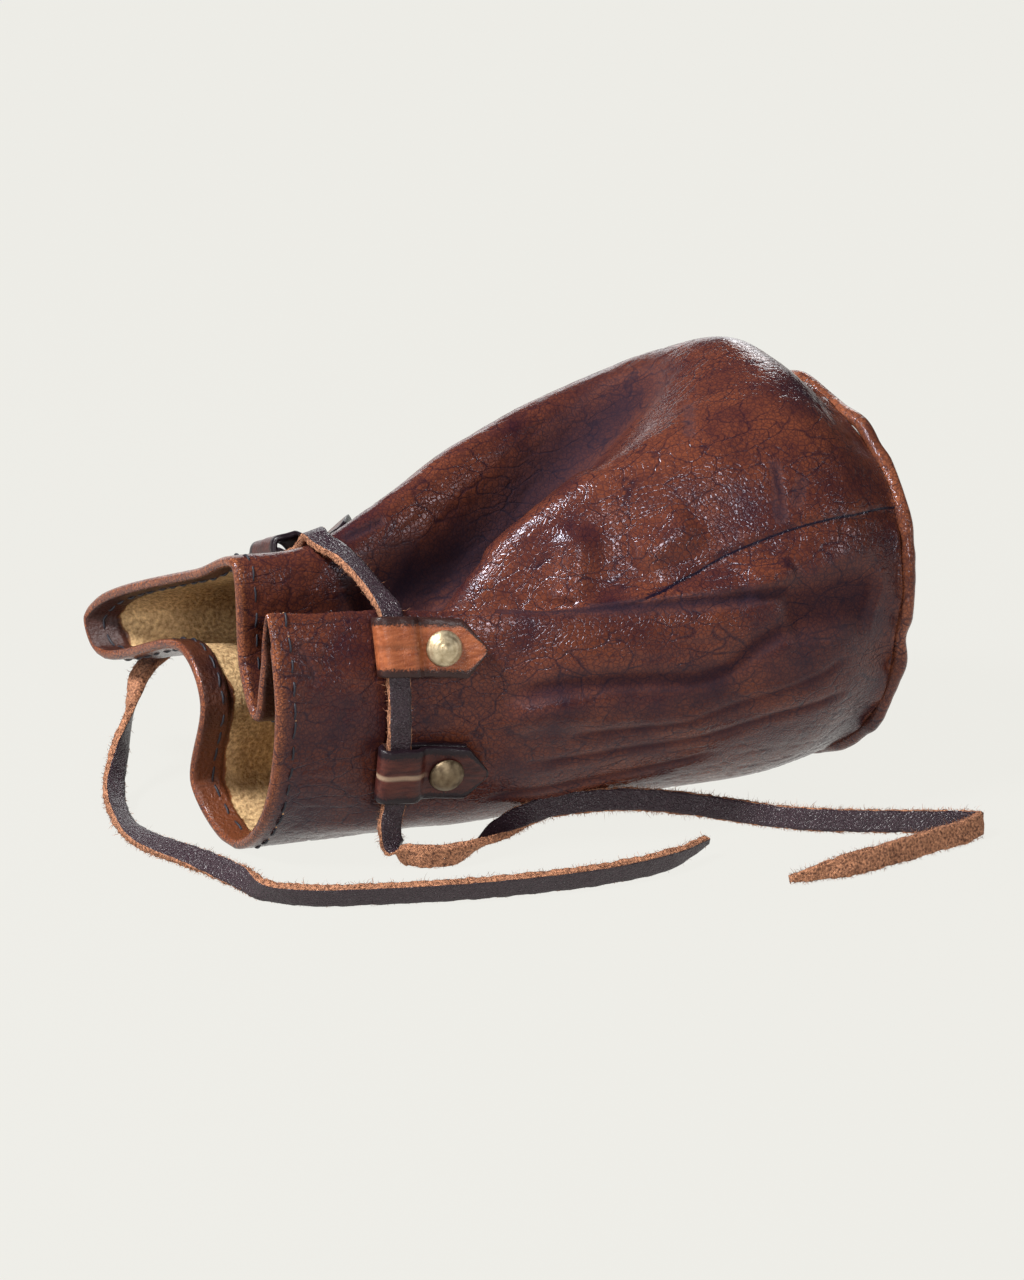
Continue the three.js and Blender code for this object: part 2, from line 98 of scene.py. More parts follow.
# Creases pressed into the wall, or ridges where the depth is below 0: depth and half width in
# mm, how dark the shade painted in it is, and its line in shares of the length and fold numbers.
SIDE_SEAM = ((0.45, 2.9), (0.417, 3.45), (0.383, 3.95), (0.353, 4.09), (0.313, 4.17),
             (0.26, 4.25), (0.163, 4.38), (0.003, 4.76))
SEAM_LAP = 0.6
CREASES = (
    (0.5, 1.2, 0, SIDE_SEAM),
    (1.5, 7.5, 0.85, ((0.78, 6.36), (0.66, 6.36), (0.6, 6.28), (0.54, 6.22), (0.443, 6.24),
                      (0.37, 6.2), (0.3, 6.2))),
    (-2.2, 5, 0, ((0.485, 4), (0.475, 4.2), (0.46, 4.65))),
    (-2, 5, 0, ((0.42, 4.25), (0.395, 4.32), (0.37, 4.42))),
    (-1.6, 4, 0, ((0.34, 3.3), (0.315, 3.4), (0.29, 3.5))),
    (-1.5, 4.5, 0, ((0.56, 5.25), (0.51, 5.4), (0.46, 5.35), (0.42, 5.25))),
    (0.9, 1.6, 0.8, ((0.64, 3.14), (0.507, 3.1), (0.45, 3), (0.407, 2.95), (0.37, 2.92), (0.347, 2.93),
                     (0.313, 2.98), (0.29, 3.05))),
    (0.9, 2.4, 0.6, ((0.603, 2.08), (0.52, 2.21), (0.447, 2.24), (0.387, 2.21), (0.33, 2.48), (0.29, 2.69))),
    (-1.2, 4.5, 0, ((0.6, 1.9), (0.517, 1.98), (0.433, 1.91), (0.36, 1.76))),
    (2.2, 7, 0.6, ((0.31, 2.72), (0.25, 2.88), (0.09, 3.41))),
    (0.5, 1.3, 0.4, ((0.56, 1.5), (0.463, 1.56), (0.373, 1.62), (0.3, 1.78), (0.167, 2.02))),
    (0.5, 1.2, 0.4, ((0.607, 1.16), (0.45, 1.28), (0.347, 1.45))),
    (0.5, 1.4, 0.4, ((0.513, 1.76), (0.413, 1.78), (0.327, 1.95), (0.19, 2.41))),
    (0.6, 1, 0.6, ((0.727, 6.93), (0.653, 6.84))),
    (0.3, 0.8, 0.2, ((0.953, 2.6), (0.92, 2.19))),
    (0.4, 0.9, 0.7, ((0.29, 4.7), (0.297, 4.25))),
    (0.4, 0.9, 0.7, ((0.263, 4.58), (0.28, 4.36))),
    (0.4, 1, 0.5, ((0.33, 5.49), (0.357, 4.99))),
)

# Places round the base, in degrees from the floor, where its edge stands off a true circle:
# half width of the place, then mm out along the pouch and mm away from the middle.
BASE_OFFSETS = (
    (130, 20, 0.9, 0),
    (166, 10, 0, -1.6),
    (95, 14, -0.3, 0),
    (81, 5, -0.5, -1),
    (50, 9, 0, 1),
)

# Keepers, with the fold number of each
KEEPER_WIDTH = 14.0
KEEPER_LENGTH = 28.0
KEEPER_SHOULDER = 22.6
KEEPER_UNDER_END = 22.4
KEEPER_RIVET = 17.6
LACE_SEAT = 5.3
LACE_LINE = 0.766
KEEPER_STIFF = 0.7
TOP_KEEPER_RISE = 2.4
TOP_KEEPER_FLARE = 1.6
KEEPERS = {"1": 2.5, "2": 1.5, "3": 8.42, "4": 8.98}

# Rivets
DOME_RADIUS = 4.3
DOME_RISE = 2.2
POST_RADIUS = 1.4
BACK_RADIUS = 3.4
BACK_THICKNESS = 0.8
RIVET_SIDES = 48

# Lace
LACE_WIDTH = 5.6
LACE_THICKNESS = 1.6
LACE_SHOWN = 2.0
LACE_LIFT = KEEPER_SEAT + LEATHER + GAP + LACE_THICKNESS / 2
LACE_REST = 3 * GAP + LACE_THICKNESS / 2
LACE_EDGE = LACE_WIDTH / 2 + 0.3
TIP_SHARE = 0.3
TIP_LENGTH = 15.0


def unit(vectors):
    return vectors / np.maximum(np.linalg.norm(vectors, axis=-1, keepdims=True), 1e-9)


def ease(values, low, high):
    share = np.clip((values - low) / (high - low), 0.0, 1.0)
    return share * share * (3 - 2 * share)


def lattice(cells, seed):
    return np.modf(np.sin(cells @ np.array([127.1, 311.7, 74.7]) + seed) * 43758.5453)[0]


def lumps(points, size, seed=0.0):
    """Smooth noise from about -1 to 1 with lumps of that size in mm."""
    cells = np.floor(points / size)
    share = points / size - cells
    share = share * share * (3 - 2 * share)
    total = np.zeros(points.shape[:-1])
    for corner in itertools.product((0.0, 1.0), repeat=3):
        weight = np.prod(np.where(np.array(corner) > 0, share, 1 - share), axis=-1)
        total += weight * lattice(cells + corner, seed)
    return total


def cracks(points, size, seed=0.0):
    """Distance to the border of a cell in a cracked pattern, as a share of the cell."""
    cells = np.floor(points / size)
    nearest = np.full(points.shape[:-1], 9.0)
    second = nearest.copy()
    for step in itertools.product((-1.0, 0.0, 1.0), repeat=3):
        cell = cells + step
        centre = np.stack([lattice(cell, seed + k * 17.3) for k in range(3)], axis=-1)
        centre = cell + 0.5 + 0.45 * centre
        far = np.linalg.norm(points / size - centre, axis=-1)
        second = np.minimum(second, np.maximum(nearest, far))
        nearest = np.minimum(nearest, far)
    return second - nearest


def catmull(points, share, closed):
    """Centripetal Catmull-Rom curve through points, at shares from 0 to 1."""
    points = np.asarray(points, float)
    count = len(points)
    place = (count - (0 if closed else 1)) * np.asarray(share, float)
    i = np.floor(place).astype(int)
    if closed:
        p0, p1, p2, p3 = (points[(i + k) % count] for k in (-1, 0, 1, 2))
    else:
        i = np.minimum(i, count - 2)
        longer = np.vstack([2 * points[0] - points[1], points, 2 * points[-1] - points[-2]])
        p0, p1, p2, p3 = (longer[i + k] for k in (0, 1, 2, 3))
    w = (place - i)[:, None]
    spans = ((p0, p1), (p1, p2), (p2, p3))
    d0, d1, d2 = (np.sqrt(np.linalg.norm(b - a, axis=1, keepdims=True)) for a, b in spans)
    d1 = np.where(d1 < 1e-4, 1.0, d1)
    d0 = np.where(d0 < 1e-4, d1, d0)
    d2 = np.where(d2 < 1e-4, d1, d2)
    start = ((p1 - p0) / d0 - (p2 - p0) / (d0 + d1) + (p2 - p1) / d1) * d1
    end = ((p2 - p1) / d1 - (p3 - p1) / (d1 + d2) + (p3 - p2) / d2) * d1
    square = -3 * p1 + 3 * p2 - 2 * start - end
    cube = 2 * p1 - 2 * p2 + start + end
    return p1 + start * w + square * w ** 2 + cube * w ** 3


def run_along(line):
    """Distance travelled to each point of a line."""
    return np.concatenate([[0.0], np.cumsum(np.linalg.norm(np.diff(line, axis=0), axis=1))])


def at_run(steps, run, line):
    """Points of a line at those distances along it."""
    return np.stack([np.interp(steps, run, column) for column in line.T], axis=1)


def circle(side, away, corners):
    """Points on a circle of radius 1 between two directions."""
    turn = np.linspace(0, 2 * np.pi, corners + 1)[:-1, None]
    return side[..., None, :] * np.cos(turn) + away[..., None, :] * np.sin(turn)


def above_floor(points, gap):
    """Lifts points that are lower than that gap over the floor."""
    points[..., 2] = np.maximum(points[..., 2], gap)
    return points


# Wall surface: a curve for each fold line, and closed sections through them.
def on_base(points):
    """Points drawn on the base plane, with x out of it, turned and put in place."""
    x, y, z = np.moveaxis(np.asarray(points, float), -1, 0)
    x, z = x * np.cos(BASE_LEAN) + z * np.sin(BASE_LEAN), z * np.cos(BASE_LEAN) - x * np.sin(BASE_LEAN)
    x, y = x * np.cos(BASE_TURN) - y * np.sin(BASE_TURN), x * np.sin(BASE_TURN) + y * np.cos(BASE_TURN)
    return BASE_CENTRE + np.stack([x, y, z], axis=-1)


def base_circle(degrees, radius, out):
    """Points round the base, with its edge set off the true circle where it is uneven."""
    turn = np.radians(degrees)
    near_edge = (radius / BASE_RADIUS) ** 6
    for at, width, along, away in BASE_OFFSETS:
        place = near_edge * np.exp(-(((np.asarray(degrees) - at) / width) ** 2))
        out = out + along * place
        radius = radius + away * place
    across = -np.sin(turn) * radius
    up = -np.cos(turn) * radius
    return on_base(np.stack(np.broadcast_arrays(out, across, up), axis=-1))


RAILS = [
    (base_circle(base, BASE_RADIUS, 0.0), (BELLY_X, *belly), (SHOULDER_X, *shoulder), neck, rim)
    for base, belly, shoulder, neck, rim in FOLDS
]


def wall(along, fold):
    """Grid of points on the wall, a row for each share of the length and a column for each fold number."""
    lines = np.stack([catmull(rail, along, False) for rail in RAILS], axis=1)
    share = (np.asarray(fold, float) / FOLD_COUNT) % 1.0
    return np.stack([catmull(section, share, True) for section in lines])


def wall_line(rows, count):
    """Points along a line given by shares of the length and fold numbers."""
    path = np.array([(along, fold, 0.0) for along, fold in rows])
    steps = catmull(path, np.linspace(0, 1, count), False)
    return np.concatenate([wall([along], [fold])[0] for along, fold, _ in steps])


def wall_frame(along, fold):
    """Place, outward direction and direction towards the mouth at one point of the wall."""
    mouthward = unit(wall([min(along + 0.01, 1)], [fold])[0, 0] - wall([max(along - 0.01, 0)], [fold])[0, 0])
    low, middle, high = wall([along], [fold - 0.06, fold, fold + 0.06])[0]
    return middle, unit(np.cross(high - low, mouthward)), mouthward


# Meshes
def add_object(name, data):
    thing = bpy.data.objects.new(name, data)
    bpy.context.scene.collection.objects.link(thing)
    return thing


def add_piece(name, points, faces, materials, material_of=None, data=None):
    """A smooth mesh from points in mm, with numbers per point for its shaders."""
    mesh = bpy.data.meshes.new(name)
    points = (np.reshape(points, (-1, 3)) + ZERO) * MM
    mesh.from_pydata(points.tolist(), [], [list(map(int, face)) for face in faces])
    for material in materials:
        mesh.materials.append(material)
    if material_of is not None:
        mesh.polygons.foreach_set("material_index", np.asarray(material_of, np.int32))
    mesh.polygons.foreach_set("use_smooth", np.ones(len(faces), dtype=bool))
    for key, values in (data or {}).items():
        values = np.ascontiguousarray(values, np.float32).ravel()
        mesh.attributes.new(key, "FLOAT", "POINT").data.foreach_set("value", values)
    mesh.update()
    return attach(add_object(name, mesh), "root")


def ring_faces(points, joined=False):
    """Quads between closed rings of points, joined end to end if asked."""
    rings, size = points.shape[:2]
    i = np.arange(rings if joined else rings - 1)[:, None]
    j = np.arange(size)[None]
    after = (i + 1) % rings
    beside = (j + 1) % size
    corners = (i * size + j, i * size + beside, after * size + beside, after * size + j)
    return np.stack(corners, axis=-1).reshape(-1, 4)


def capped(points):
    """Quads between closed rings of points and a face at each end."""
    rings, size = points.shape[:2]
    return [*ring_faces(points), np.arange(size)[::-1], np.arange(size) + (rings - 1) * size]


# Shader nodes, added to the tree of the socket that they take their value from
def add_node(tree, kind, inputs=(), **settings):
    node = tree.nodes.new("ShaderNode" + kind)
    for key, value in settings.items():
        setattr(node, key, value)
    for key, value in dict(inputs).items():
        if isinstance(value, bpy.types.NodeSocket):
            tree.links.new(value, node.inputs[key])
        else:
            node.inputs[key].default_value = value
    return node


def new_material(name):
    """A material without nodes, its tree and the place of a point on the object."""
    material = bpy.data.materials.new(name)
    material.use_nodes = True
    material.node_tree.nodes.clear()
    place = add_node(material.node_tree, "TexCoord").outputs["Object"]
    return material, material.node_tree, place


def finish_material(material, inputs):
    shader = add_node(material.node_tree, "BsdfPrincipled", inputs)
    add_node(material.node_tree, "OutputMaterial", {"Surface": shader.outputs["BSDF"]})
    return material


def scaled(value, low, high, to_low=0.0, to_high=1.0):
    node = add_node(value.id_data, "MapRange", {"Value": value, "From Min": low, "From Max": high,
                                                "To Min": to_low, "To Max": to_high})
    return node.outputs["Result"]


def sums(operation, first, second=0.0):
    return add_node(first.id_data, "Math", {0: first, 1: second}, operation=operation).outputs["Value"]


def product(*values):
    """The values multiplied together."""
    return functools.reduce(functools.partial(sums, "MULTIPLY"), values)


def weighted(*terms):
    """The sum of values, each times its weight."""
    parts = [sums("MULTIPLY", value, weight) for value, weight in terms]
    return functools.reduce(functools.partial(sums, "ADD"), parts)


def vectors(operation, first, second):
    return add_node(first.id_data, "VectorMath", {0: first, 1: second}, operation=operation).outputs[0]


def blend(share, first, second):
    return add_node(share.id_data, "Mix", {0: share, 6: first, 7: second}, data_type="RGBA").outputs[2]


def noise(place, size, detail=2.0, output="Fac"):
    """Smooth noise with lumps of that size in mm."""
    inputs = {"Vector": place, "Scale": 1 / (size * MM), "Detail": detail}
    return add_node(place.id_data, "TexNoise", inputs).outputs[output]


def cell_borders(place, size, width):
    inputs = {"Vector": place, "Scale": 1 / (size * MM)}
    cells = add_node(place.id_data, "TexVoronoi", inputs, feature="DISTANCE_TO_EDGE")
    return scaled(cells.outputs["Distance"], 0, width)


def point_data(tree, key):
    return add_node(tree, "Attribute", attribute_name=key).outputs["Fac"]


def warped(place, size, amount):
    """The place moved about by noise, in mm, so that cell borders wander."""
    centred = vectors("SUBTRACT", noise(place, size, output="Color"), (0.5, 0.5, 0.5))
    return vectors("ADD", place, vectors("MULTIPLY", centred, [amount * MM] * 3))


def bump(height, depth):
    return add_node(height.id_data, "Bump", {"Height": height, "Distance": depth * MM}).outputs["Normal"]


def seam_shade(tree):
    """Dark thin line along the side seam, 1 away from it."""
    apart = sums("ABSOLUTE", point_data(tree, "seam"))
    line = product(scaled(apart, 0.15, 0.45, 1, 0), point_data(tree, "near_seam"))
    return scaled(line, 0, 1, 1, 0)


def painted_low_shade(place):
    """Painted shade low at both ends of the pouch, near the floor, but not on its worn rim."""
    where = add_node(place.id_data, "SeparateXYZ", {0: place})
    far_out = scaled(sums("ABSOLUTE", where.outputs["X"]), 0.035, 0.07)
    low = scaled(where.outputs["Z"], 0.055, 0.015)
    return product(far_out, low, scaled(point_data(place.id_data, "worn"), 0, 0.6, 1, 0))


def crease_lines(place, stretch, size, width, low, high):
    """Wandering crease lines in patches, 0 in a line."""
    stretched = vectors("MULTIPLY", place, stretch)
    borders = cell_borders(warped(stretched, 1.6 * size, 1.5 * size), size, width)
    patches = noise(place, 3 * size, 2)
    return sums("MAXIMUM", borders, scaled(patches, low, high))


def glazed_leather(name, dark, light, worn_and_highlight_colour):
    """Glazed leather with a crackle, longer creases, painted shade in the folds and low at both ends, and
    worn edges that are lighter, partly as a painted highlight.
    """
    material, tree, place = new_material(name)
    fine = cell_borders(warped(place, 3, 1.6), 1.2, 0.17)
    middle = crease_lines(place, (0.8, 1, 1), 2.4, 0.07, 0.62, 0.44)
    long = crease_lines(place, (0.4, 1, 0.75), 4.6, 0.04, 0.56, 0.4)
    grain = noise(place, 0.35, 3)
    patches = noise(place, 14, 4)
    colour = blend(scaled(patches, 0.28, 0.6), dark, light)
    # Lighter rubbed colour on the rim roll and along the base edge: wear, and partly a painted highlight of
    # the glossy rolled rim.
    rubbed_and_highlight = product(point_data(tree, "worn"), scaled(grain, 0.4, 0.62, 0.2, 1))
    colour = blend(rubbed_and_highlight, colour, worn_and_highlight_colour)
    # Painted shade in the deep folds and creases, from the crease table; it also makes them rougher.
    painted_fold_shade = point_data(tree, "shade")
    shade = product(
        scaled(fine, 0, 1, 0.5, 1),
        scaled(middle, 0, 1, 0.42, 1),
        scaled(long, 0, 1, 0.3, 1),
        scaled(grain, 0.32, 0.56, 0.6, 1),
        # painted shade low at both ends, near the floor
        scaled(painted_low_shade(place), 0, 1, 1, 0.4),
        scaled(painted_fold_shade, 0, 1, 1, 0.08),
        seam_shade(tree))
    # Cracks, grain and the seam line darken towards this dark colour, and so do the painted shade in the
    # folds and the painted shade low at both ends.
    colour = blend(shade, (0.009, 0.006, 0.014, 1), colour)
    height = weighted((fine, 0.45), (middle, 0.5), (long, 0.7), (grain, 0.3))
    return finish_material(material, {
        "Base Color": colour,
        "Roughness": scaled(painted_fold_shade, 0, 0.45, 0.18, 0.95),
        "Specular IOR Level": 0.25,
        "Specular Tint": (0.82, 0.84, 1.0, 1),
        "Normal": bump(height, 0.08),
    })


def mouth_inside():
    """Suede inside the wall, and the brown turned-in edge beside the rim, redder at the floor."""
    material, tree, place = new_material("mouth_inside")
    level = add_node(tree, "SeparateXYZ", {0: place})
    ragged = sums("MULTIPLY", noise(place, 1.6, 3), 1.4)
    reach = sums("ADD", point_data(tree, "hem"), sums("SUBTRACT", ragged, 0.7))
    on_hem = scaled(reach, -0.15, 0.15)
    nap = noise(place, 0.9, 5)
    soft = noise(place, 9, 3)
    suede = blend(scaled(nap, 0.3, 0.7), (0.23, 0.138, 0.062, 1), (0.78, 0.53, 0.27, 1))
    suede = blend(scaled(soft, 0.3, 0.7, 0, 0.4), suede, (0.3, 0.18, 0.085, 1))
    hem = blend(scaled(soft, 0.35, 0.65), (0.03, 0.009, 0.007, 1), (0.075, 0.023, 0.012, 1))
    for share, tint in (
            (scaled(level.outputs["Z"], 0.035, 0.005, 0, 0.75), (0.15, 0.042, 0.015, 1)),
            (scaled(level.outputs["Y"], 0.04, 0.06, 0, 0.8), (0.04, 0.014, 0.011, 1)),
            (scaled(nap, 0.45, 0.75, 0, 0.35), (0.02, 0.01, 0.01, 1))):
        hem = blend(share, hem, tint)
    edge = product(on_hem, scaled(reach, 0.7, 0), 0.5)
    colour = blend(on_hem, suede, hem)
    colour = blend(edge, colour, (0.36, 0.15, 0.05, 1))
    return finish_material(material, {
        "Base Color": colour,
        "Roughness": scaled(on_hem, 0, 1, 0.95, 0.4),
        "Specular IOR Level": 0.25,
        "Normal": bump(nap, 0.45),
    })


def tab_leather(name, dark, light, edge_colour, line_colour):
    """Keeper leather: streaks along the tab, dark burnished edges that are partly painted shade of the
    rounded edge, and a scored line.
    """
    material, tree, place = new_material(name)
    streaks = noise(vectors("MULTIPLY", place, (0.14, 1, 1)), 0.9, 4)
    grain = noise(place, 0.45, 3)
    patches = noise(place, 7, 3)
    tone = weighted((streaks, 0.6), (patches, 0.4))
    colour = blend(scaled(tone, 0.38, 0.62), dark, light)
    burnished_and_shaded_edge = sums("ADD", point_data(tree, "edge"), scaled(grain, 0.3, 0.7, -0.3, 0.3))
    colour = blend(scaled(burnished_and_shaded_edge, 0.3, 0.75), colour, edge_colour)
    colour = blend(point_data(tree, "line"), colour, line_colour)
    height = weighted((streaks, 0.6), (grain, 1.0))
    return finish_material(material, {
        "Base Color": colour,
        "Roughness": 0.3,
        "Specular IOR Level": 0.3,
        "Normal": bump(height, 0.12),
    })


def lace_grain():
    """Dark smooth side of the lace, with fine wrinkles across it."""
    material, _, place = new_material("lace_grain")
    wrinkles = cell_borders(warped(place, 2, 1.4), 0.9, 0.2)
    grain = noise(place, 0.4, 3)
    colour = blend(scaled(grain, 0.3, 0.7), (0.018, 0.01, 0.015, 1), (0.05, 0.028, 0.036, 1))
    height = weighted((wrinkles, 0.8), (grain, 1.0))
    return finish_material(material, {
        "Base Color": colour,
        "Roughness": 0.3,
        "Specular IOR Level": 0.4,
        "Normal": bump(height, 0.16),
    })


def lace_flesh():
    """Fuzzy cut edges and flesh side of the lace."""
    material, _, place = new_material("lace_flesh")
    nap = noise(place, 0.6, 4)
    colour = blend(scaled(nap, 0.32, 0.68), (0.09, 0.032, 0.018, 1), (0.6, 0.27, 0.14, 1))
    return finish_material(material, {
        "Base Color": colour,
        "Roughness": 0.95,
        "Normal": bump(nap, 0.8),
    })


def antique_brass(name, dark, light):
    material, _, place = new_material(name)
    worn = noise(place, 1.6, 4)
    colour = blend(scaled(worn, 0.35, 0.65), dark, light)
    return finish_material(material, {
        "Base Color": colour,
        "Metallic": 0.85,
        "Roughness": scaled(worn, 0.3, 0.7, 0.4, 0.55),
        "Normal": bump(worn, 0.05),
    })


def plain_material(name, colour, roughness):
    return finish_material(new_material(name)[0], {"Base Color": colour, "Roughness": roughness})


# Colour of the worn rim: wear, and partly a painted highlight.
WORN_AND_HIGHLIGHT_BROWN = (0.3, 0.1, 0.04, 1)
leather = glazed_leather("brown_leather", (0.045, 0.0125, 0.014, 1), (0.15, 0.042, 0.021, 1), WORN_AND_HIGHLIGHT_BROWN)
# The welt is a lighter brown than the wall, partly its own colour and partly a painted highlight.
welt_leather = glazed_leather("welt_leather", (0.09, 0.026, 0.013, 1), (0.32, 0.105, 0.048, 1), WORN_AND_HIGHLIGHT_BROWN)
cognac = tab_leather("cognac_leather", (0.2, 0.05, 0.019, 1), (0.38, 0.115, 0.045, 1),
                     (0.035, 0.015, 0.013, 1), (0.14, 0.045, 0.02, 1))
dark_tab = tab_leather("dark_leather", (0.03, 0.008, 0.009, 1), (0.09, 0.024, 0.017, 1),
                       (0.012, 0.006, 0.009, 1), (0.62, 0.45, 0.3, 1))
suede = mouth_inside()
grain_side = lace_grain()
flesh_side = lace_flesh()
brass = antique_brass("antique_brass", (0.38, 0.29, 0.17, 1), (0.68, 0.57, 0.38, 1))
dull_brass = antique_brass("dull_brass", (0.11, 0.075, 0.045, 1), (0.22, 0.165, 0.1, 1))
thread = plain_material("thread", (0.012, 0.012, 0.02, 1), 0.6)
raw_nick = plain_material("raw_leather", (0.5, 0.28, 0.14, 1), 0.9)


# Wall
OUTER_ALONG = np.concatenate([
    np.linspace(0, 0.06, 12)[:-1], np.linspace(0.06, 0.9, 142)[:-1], np.linspace(0.9, 1, 24)])
INNER_ALONG = np.concatenate([np.linspace(0, 0.9, 34)[:-1], np.linspace(0.9, 1, 30)])
WALL_COLUMNS = 340
WALL_LENGTH = 165.0
RIM_STEPS = 6
FRONT_FOLDS = (0.4, 8.3)
FRONT_CROWDING = 1.35
BACK_CROWDING = 0.55
SEAM_REACH = 12.0
SEAM_FAR = 9.0
HEM_FAR = 12.0


def even_columns():
    """Fold numbers about evenly far apart on the wall, closer on its front."""
    fold = np.linspace(0, FOLD_COUNT, 1501)
    grid = wall(np.linspace(0, 1, 9), fold)
    far = np.linalg.norm(np.diff(grid, axis=1), axis=2).mean(axis=0)
    front = (fold[:-1] > FRONT_FOLDS[0]) & (fold[:-1] < FRONT_FOLDS[1])
    far *= np.where(front, FRONT_CROWDING, BACK_CROWDING)
    run = np.concatenate([[0.0], np.cumsum(far)])
    return np.interp(np.linspace(0, run[-1], WALL_COLUMNS + 1)[:-1], run, fold)


def grid_frames(grid):
    """Outward directions and directions towards the mouth on a grid of the wall."""
    mouthward = unit(np.gradient(grid, axis=0))
    around = unit(np.roll(grid, -1, axis=1) - np.roll(grid, 1, axis=1))
    return unit(np.cross(around, mouthward)), mouthward


def bend_room(grid, out, thickness):
    """How far in the inner skin can lie without crossing itself in a tight bend."""
    reach = 4
    before, out_before = (np.roll(values, reach, axis=1) for values in (grid, out))
    after, out_after = (np.roll(values, -reach, axis=1) for values in (grid, out))
    opens = np.sum((out_after - out_before) * (after - before), axis=2) > 0
    bend = np.arccos(np.clip(np.sum(out_before * out_after, axis=2), -1, 1))
    radius = np.linalg.norm(after - before, axis=2) / np.maximum(bend, 1e-3)
    room = np.where(opens, np.minimum(thickness, BEND_ROOM * radius), thickness)
    for shift in (1, 2, 3, 4):
        room = np.minimum(room, np.minimum(np.roll(room, shift, axis=1), np.roll(room, -shift, axis=1)))
    return room


def near_line(grid, rows, reach):
    """Grid points about a line on the wall: which, how far off, how far along it and on which side."""
    line = wall_line(rows, 60)
    near = np.all((grid > line.min(axis=0) - reach) & (grid < line.max(axis=0) + reach), axis=2)
    apart = grid[near][:, None] - line
    closest = np.argmin(np.linalg.norm(apart, axis=2), axis=1)
    apart = apart[np.arange(len(apart)), closest]
    ahead = unit(np.gradient(line, axis=0))[closest]
    square = apart - ahead * np.sum(apart * ahead, axis=1, keepdims=True)
    return near, np.linalg.norm(square, axis=1), closest / (len(line) - 1), np.sign(square[:, 2])


def press_creases(grid):
    """How far each point is pushed out by the listed creases, and how dark the shade painted there is."""
    push = np.zeros(grid.shape[:2])
    shade = np.zeros(grid.shape[:2])
    for depth, width, painted_shade, rows in CREASES:
        near, far, share, _ = near_line(grid, rows, 3 * width)
        groove = np.exp(-((far / width) ** 2)) * np.clip(8 * np.minimum(share, 1 - share), 0, 1)
        push[near] -= depth * groove
        shade[near] = np.maximum(shade[near], painted_shade * groove)
    return push, shade


def side_seam(grid):
    """Distance above the side seam, how near it is, and the push of its lap and of the ribs below it."""
    apart = np.full(grid.shape[:2], SEAM_FAR)
    close = np.zeros(grid.shape[:2])
    push = np.zeros(grid.shape[:2])
    near, far, share, above = near_line(grid, SIDE_SEAM, SEAM_REACH)
    starts = ease(share, 0, 0.15)
    apart[near] = np.minimum(far, SEAM_FAR) * above
    close[near] = ease(7 - far, 0, 3) * starts
    lap = SEAM_LAP * (above > 0) * np.exp(-far / 4.0)
    ribs = lumps(np.stack([share * 90, far * 0.15, 0 * far], axis=-1), 1.6, 9)
    below = (above < 0) * np.exp(-(((far - 2.5) / 2.0) ** 2))
    push[near] = starts * ease(SEAM_FAR - far, 0, 5) * (lap + 0.25 * ribs * below)
    return apart, close, push


def outer_skin(columns):
    """Outer points of the wall, the directions towards the mouth, and the numbers for the shader, among them
    the painted shade of the creases.
    """
    grid = wall(OUTER_ALONG, columns)
    out, mouthward = grid_frames(grid)
    push, shade = press_creases(grid)
    seam, near_seam, lap = side_seam(grid)
    along = OUTER_ALONG[:, None]
    body = ease(along, 0, 0.1) * ease(1 - along, 0, 0.08)
    push += lap + body * (0.5 * lumps(grid, 24, 1) + 0.3 * lumps(grid, 9, 2))
    lengthwise = grid * np.array([0.22, 1.0, 1.0])
    push += 0.5 * lumps(lengthwise, 7, 3) * body * ease(along, 0.35, 0.7)
    loose = ease(lumps(grid, 30, 4), -0.4, 0.3) * body
    wandering = lengthwise * (2, 1, 1) + 2.5 * lumps(grid, 6, 5)[..., None]
    push -= 0.2 * loose * (1 - ease(cracks(wandering, 7, 6), 0, 0.12))
    push -= 0.1 * body * (1 - ease(cracks(grid, 3.2, 7), 0, 0.16))
    puckers = lumps(np.stack(np.broadcast_arrays(columns * 24, along * 12, 0), axis=-1), 4, 8)
    push += 0.9 * puckers * np.exp(-along / 0.03) * ease(along, 0, 0.012)
    moved = above_floor(grid + out * push[..., None], FLOOR_GAP)
    # Worn is 1 at the rim and smaller along the base edge; it lightens the colour as wear and, on the rim,
    # partly as a painted highlight.
    worn = np.exp(-(1 - along) / 0.008) + 0.7 * np.exp(-along / 0.012) + np.zeros_like(shade)
    return moved, mouthward, {"shade": shade, "seam": seam, "near_seam": near_seam, "worn": worn}


def hem_reach(columns):
    """Distance past the ragged inner edge of the hem, in mm."""
    ring = wall([HEM_START], columns)[0]
    edge = HEM_START + 0.009 * lumps(ring, 9, 11) + 0.005 * lumps(ring, 3, 12)
    return (INNER_ALONG[:, None] - edge[None]) * WALL_LENGTH


def inner_skin(columns):
    """Inner points of the wall, and their distances past the edge of the hem."""
    grid = wall(INNER_ALONG, columns)
    out, _ = grid_frames(grid)
    reach = hem_reach(columns)
    thickness = LEATHER + (HEM_THICKNESS - LEATHER) * ease(reach, -0.3, 0.5)
    push = press_creases(grid)[0] - bend_room(grid, out, thickness)
    push += 0.25 * lumps(grid, 5, 13) * ease(1 - INNER_ALONG, 0, 0.1)[:, None]
    return above_floor(grid + out * push[..., None], LEATHER), reach


